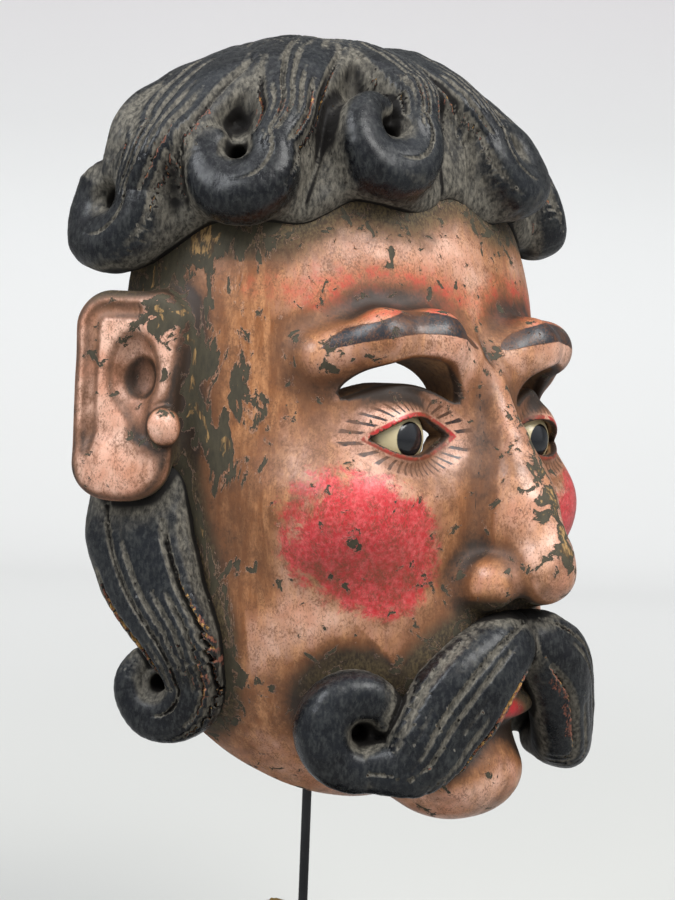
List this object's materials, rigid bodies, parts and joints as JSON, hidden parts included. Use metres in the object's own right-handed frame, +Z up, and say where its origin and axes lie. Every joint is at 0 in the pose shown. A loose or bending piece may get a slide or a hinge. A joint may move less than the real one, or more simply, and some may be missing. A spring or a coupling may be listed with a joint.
{
  "type": "carved wooden dance mask on a display stand",
  "caption": "Hollow carved face mask with painted skin, scrolled hair locks, moustache and side whiskers, tie cords, hung on a turning, height-set rod stand.",
  "frame": {"origin": "centre of the stand's underside, on the axis of its upright rod", "axes": "+Z up along the rod; the face looks along -Y; the wearer's left is +X"},
  "size_m": [0.199, 0.1766, 0.3457],
  "materials": {
    "flesh_paint": "worn glossy oil paint over dark undercoat on wood",
    "hair_paint": "worn glossy black paint on carved wood, dusty in the grooves",
    "eye_paint": "glossy varnished paint, cream with a black iris",
    "bare_wood": "whittled, unpainted",
    "cord": "twisted plant fibre",
    "black_steel": "satin black steel",
    "brass": "turned brass, a little dulled",
    "rubber": "matt tube",
    "felt": "dense dark felt"
  },
  "bodies": {
    "stand": {"base_plate": "black_steel", "felt_pad": "felt", "rod_socket": "black_steel", "flange_screw_1": "brass", "flange_screw_2": "brass", "flange_screw_3": "brass", "flange_screw_4": "brass"},
    "collar": {"shaft_collar": "black_steel"},
    "clamp_screw": {"thumb_screw": "brass"},
    "rod": {"upright_rod": "black_steel", "cross_bar": "black_steel", "prong_sleeve": "rubber", "arm_sleeve_right": "rubber", "arm_sleeve_left": "rubber"},
    "mask": {"face_shell": "flesh_paint", "nose_block": "flesh_paint", "ear_right": "flesh_paint", "ear_left": "flesh_paint", "hair_crown": "hair_paint", "hair_lock_front_right": "hair_paint", "hair_lock_front_left": "hair_paint", "hair_lock_side_right": "hair_paint", "hair_lock_side_left": "hair_paint", "hair_lock_temple_right": "hair_paint", "hair_lock_temple_left": "hair_paint", "moustache_right": "hair_paint", "moustache_left": "hair_paint", "sideburn_right": "hair_paint", "sideburn_left": "hair_paint", "eye_right": "eye_paint", "eye_left": "eye_paint", "nose_peg": "bare_wood", "moustache_peg_right": "bare_wood", "moustache_peg_left": "bare_wood", "ear_peg_right": "bare_wood", "ear_peg_left": "bare_wood", "sideburn_peg_right": "bare_wood", "sideburn_peg_left": "bare_wood", "crown_peg_right": "bare_wood", "crown_peg_left": "bare_wood"},
    "tie_right": {"tie_cord_right": "cord"},
    "tie_left": {"tie_cord_left": "cord"}
  },
  "joints": [
    {"name": "swivel", "type": "hinge", "parent": "stand", "child": "collar", "pos_m": [0, 0, 0.0434], "axis": [0, 0, 1], "continuous": true},
    {"name": "thumb_turn", "type": "hinge", "parent": "collar", "child": "clamp_screw", "pos_m": [0, 0.0019, 0.0479], "axis": [0, 1, 0], "range_deg": [0, 360]},
    {"name": "height_slide", "type": "slide", "parent": "collar", "child": "rod", "axis": [0, 0, 1], "range_m": [0, 0.025]},
    {"name": "mask_off", "type": "slide", "parent": "rod", "child": "mask", "axis": [0, -1, 0], "range_m": [0, 0.09]},
    {"name": "tie_swing_right", "type": "hinge", "parent": "mask", "child": "tie_right", "pos_m": [-0.08, 0.004, 0.225], "axis": [1, 0, 0], "range_deg": [0, 80]},
    {"name": "tie_swing_left", "type": "hinge", "parent": "mask", "child": "tie_left", "pos_m": [0.08, 0.004, 0.225], "axis": [1, 0, 0], "range_deg": [0, 80]}
  ]
}
